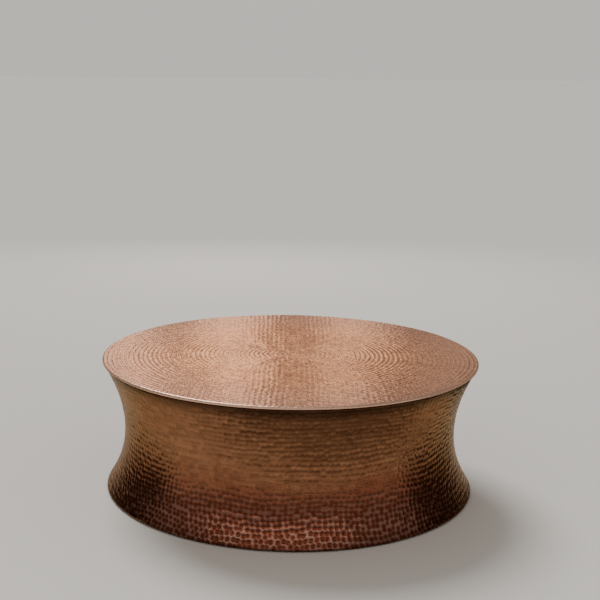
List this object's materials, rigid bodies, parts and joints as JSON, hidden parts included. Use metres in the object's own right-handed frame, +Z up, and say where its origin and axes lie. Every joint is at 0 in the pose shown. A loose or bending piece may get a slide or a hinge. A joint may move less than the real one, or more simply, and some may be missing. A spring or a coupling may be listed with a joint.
{
  "type": "hammered copper drum table",
  "caption": "Low round drum table: flat hammered copper top with a rolled rim on a waisted hammered copper drum that flares to a rolled foot.",
  "frame": {"origin": "on the floor under the centre of the drum", "axes": "+Z up along the drum's axis; +X to the right, through the drum's two seams; +Y to the back"},
  "size_m": [1.1998, 1.1998, 0.425],
  "materials": {
    "copper_top": "hammered copper, burnished pinkish tan, lightly tarnished",
    "copper_wall": "hammered copper with an olive-brown to red-brown patina",
    "black_iron": "black lacquered wrought iron, satin",
    "bright_steel": "zinc-plated steel",
    "plywood": "raw birch plywood",
    "black_nylon": "moulded black nylon"
  },
  "bodies": {
    "root": {"top_sheet": "copper_top", "rim_wire": "bright_steel", "top_board": "plywood", "drum_wall_front": "copper_wall", "drum_wall_back": "copper_wall", "base_wire": "bright_steel", "seam_strap_left_upper": "copper_wall", "seam_strap_left_lower": "copper_wall", "seam_strap_right_upper": "copper_wall", "seam_strap_right_lower": "copper_wall", "top_hoop": "black_iron", "waist_hoop": "black_iron", "base_hoop": "black_iron", "upright_1": "black_iron", "upright_2": "black_iron", "upright_3": "black_iron", "upright_4": "black_iron", "upright_5": "black_iron", "upright_6": "black_iron", "cross_tube_long": "black_iron", "cross_tube_front": "black_iron", "cross_tube_back": "black_iron", "board_screw_1": "bright_steel", "board_screw_2": "bright_steel", "board_screw_3": "bright_steel", "board_screw_4": "bright_steel", "board_screw_5": "bright_steel", "board_screw_6": "bright_steel", "glide_1": "black_nylon", "glide_2": "black_nylon", "glide_3": "black_nylon", "glide_4": "black_nylon", "glide_5": "black_nylon", "glide_6": "black_nylon", "glide_screw_1": "bright_steel", "glide_screw_2": "bright_steel", "glide_screw_3": "bright_steel", "glide_screw_4": "bright_steel", "glide_screw_5": "bright_steel", "glide_screw_6": "bright_steel"}
  },
  "joints": []
}
